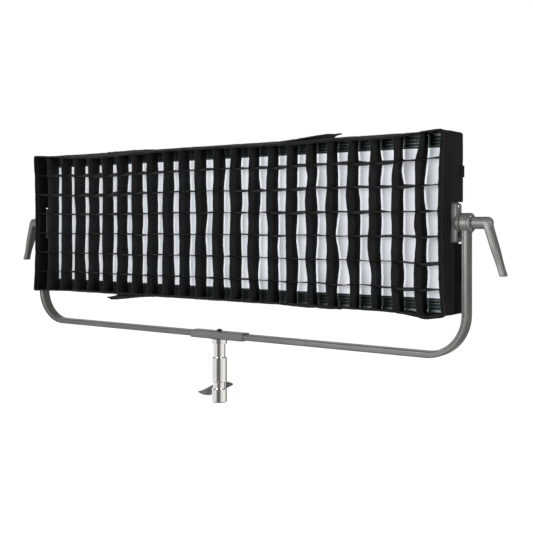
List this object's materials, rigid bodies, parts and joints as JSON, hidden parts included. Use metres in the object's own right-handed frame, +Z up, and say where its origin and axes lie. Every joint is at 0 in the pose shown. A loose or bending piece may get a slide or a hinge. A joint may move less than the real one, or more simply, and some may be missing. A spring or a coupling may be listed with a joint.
{
  "type": "strip soft light",
  "caption": "Long LED soft-light panel with a black fabric egg-crate grid, hung in a bent-tube yoke on a 28.6 mm spigot with two clamping levers.",
  "frame": {"origin": "on the spigot's axis, in the middle of its locking groove", "axes": "+X along the lamp's length to its right end, -Y the way the lamp shines, +Z up"},
  "size_m": [1.0846, 0.1344, 0.4685],
  "materials": {
    "yoke_paint": "grey powder coat, satin",
    "casting_paint": "grey textured coat on zinc castings",
    "spigot_steel": "turned and polished",
    "bright_screw": "bright zinc",
    "dark_screw": "black oxide",
    "wing_casting": "dark grey cast",
    "brass_pad": "plain",
    "spring_steel": "bright",
    "friction_fibre": "fibre",
    "rail_anodised": "dark anodised, ribbed",
    "cap_black": "black satin",
    "plate_paint": "grey textured coat",
    "opal": "opal diffuser",
    "white_lining": "matt white",
    "board_white": "white solder mask",
    "chip_yellow": "phosphor",
    "tray_aluminium": "mill finish",
    "back_black": "black satin",
    "sink_black": "black anodised",
    "box_black": "black fine texture",
    "face_black": "matt",
    "window_tint": "tinted, gloss",
    "module_green": "module",
    "board_green": "circuit board",
    "supply_case": "plain",
    "contact_metal": "gold-flashed contacts",
    "connector_black": "moulded",
    "switch_black": "moulded",
    "knob_black": "soft-touch",
    "button_grey": "moulded",
    "black_cloth": "black woven nylon",
    "divider_cloth": "black woven nylon, thin",
    "flap_cloth": "black webbing"
  },
  "bodies": {
    "yoke": {"yoke_tube_left": "yoke_paint", "yoke_tube_right": "yoke_paint", "arm_boss_left": "casting_paint", "arm_boss_right": "casting_paint", "boss_screws": "bright_screw", "yoke_sleeve": "yoke_paint", "sleeve_screws": "dark_screw", "spigot": "spigot_steel", "spigot_screw": "bright_screw"},
    "wing_pad": {"pressure_pad": "brass_pad"},
    "wing": {"wing_screw": "wing_casting"},
    "clamp_ring_right": {"clamp_washer_right": "bright_screw"},
    "clamp_ring_left": {"clamp_washer_left": "bright_screw"},
    "stud_right": {"clamp_stud_right": "bright_screw", "lever_spring_right": "spring_steel"},
    "stud_left": {"clamp_stud_left": "bright_screw", "lever_spring_left": "spring_steel"},
    "handle_right": {"lever_right": "casting_paint"},
    "handle_left": {"lever_left": "casting_paint"},
    "head": {"top_rail": "rail_anodised", "bottom_rail": "rail_anodised", "end_cap_left": "cap_black", "end_cap_right": "cap_black", "end_cap_screws": "dark_screw", "pivot_plate_left": "plate_paint", "pivot_plate_right": "plate_paint", "pivot_plate_screws": "bright_screw", "friction_washers": "friction_fibre", "diffuser": "opal", "reflector_frame": "white_lining", "led_boards": "board_white", "led_chips": "chip_yellow", "led_tray": "tray_aluminium", "back_panel": "back_black", "heat_sinks": "sink_black", "control_box": "box_black", "control_face": "face_black", "display_window": "window_tint", "display_module": "module_green", "driver_board": "board_green", "power_supply": "supply_case", "power_inlet": "connector_black", "data_sockets": "connector_black", "contact_pins": "contact_metal", "switch_bezel": "switch_black"},
    "rocker": {"power_rocker": "switch_black"},
    "dimmer": {"dimmer_knob": "knob_black"},
    "colour": {"colour_knob": "knob_black"},
    "menu": {"menu_button": "button_grey"},
    "mode": {"mode_button": "button_grey"},
    "back": {"back_button": "button_grey"},
    "grid": {"skirt_top": "black_cloth", "skirt_bottom": "black_cloth", "skirt_left": "black_cloth", "skirt_right": "black_cloth", "upright_strips": "divider_cloth", "cross_strips": "divider_cloth", "top_flaps": "flap_cloth", "bottom_flaps": "flap_cloth", "side_tabs": "flap_cloth"}
  },
  "joints": [
    {"name": "head_tilt", "type": "hinge", "parent": "yoke", "child": "head", "pos_m": [0, 0, 0.295], "axis": [1, 0, 0], "range_deg": [-180, 180]},
    {"name": "grid_pull_off", "type": "slide", "parent": "head", "child": "grid", "axis": [0, -1, 0], "range_m": [0, 0.09]},
    {"name": "clamp_travel_right", "type": "slide", "parent": "yoke", "child": "clamp_ring_right", "axis": [1, 0, 0], "range_m": [0, 0.0025]},
    {"name": "clamp_turn_right", "type": "hinge", "parent": "clamp_ring_right", "child": "stud_right", "pos_m": [0.5, 0, 0.295], "axis": [1, 0, 0], "range_deg": [0, 360]},
    {"name": "lever_lift_right", "type": "slide", "parent": "stud_right", "child": "handle_right", "axis": [1, 0, 0], "range_m": [0, 0.004], "stiffness_N_per_m": 1200, "springref_m": -0.002, "deforming": ["lever_spring_right"]},
    {"name": "clamp_travel_left", "type": "slide", "parent": "yoke", "child": "clamp_ring_left", "axis": [-1, 0, 0], "range_m": [0, 0.0025]},
    {"name": "clamp_turn_left", "type": "hinge", "parent": "clamp_ring_left", "child": "stud_left", "pos_m": [-0.5, 0, 0.295], "axis": [-1, 0, 0], "range_deg": [0, 360]},
    {"name": "lever_lift_left", "type": "slide", "parent": "stud_left", "child": "handle_left", "axis": [-1, 0, 0], "range_m": [0, 0.004], "stiffness_N_per_m": 1200, "springref_m": -0.002, "deforming": ["lever_spring_left"]},
    {"name": "wing_travel", "type": "slide", "parent": "yoke", "child": "wing_pad", "axis": [-0.788, 0.6157, 0], "range_m": [-0.0025, 0.0025]},
    {"name": "wing_turn", "type": "hinge", "parent": "wing_pad", "child": "wing", "pos_m": [0, 0, -0.011], "axis": [-0.788, 0.6157, 0], "range_deg": [-720, 720]},
    {"name": "power_rock", "type": "hinge", "parent": "head", "child": "rocker", "pos_m": [0.062, 0.0708, 0.248], "axis": [1, 0, 0], "range_deg": [-16, 0]},
    {"name": "dimmer_turn", "type": "hinge", "parent": "head", "child": "dimmer", "pos_m": [-0.105, 0.074, 0.323], "axis": [0, 1, 0], "continuous": true},
    {"name": "colour_turn", "type": "hinge", "parent": "head", "child": "colour", "pos_m": [0.105, 0.074, 0.323], "axis": [0, 1, 0], "continuous": true},
    {"name": "menu_press", "type": "slide", "parent": "head", "child": "menu", "axis": [0, -1, 0], "range_m": [0, 0.0012], "stiffness_N_per_m": 800, "springref_m": -0.0008},
    {"name": "mode_press", "type": "slide", "parent": "head", "child": "mode", "axis": [0, -1, 0], "range_m": [0, 0.0012], "stiffness_N_per_m": 800, "springref_m": -0.0008},
    {"name": "back_press", "type": "slide", "parent": "head", "child": "back", "axis": [0, -1, 0], "range_m": [0, 0.0012], "stiffness_N_per_m": 800, "springref_m": -0.0008}
  ],
  "couplings": [
    {"joint": "clamp_travel_right", "follows": "clamp_turn_right", "m_per_rad": 0.00019894},
    {"joint": "clamp_travel_left", "follows": "clamp_turn_left", "m_per_rad": 0.00019894},
    {"joint": "wing_travel", "follows": "wing_turn", "m_per_rad": 0.00019894}
  ]
}
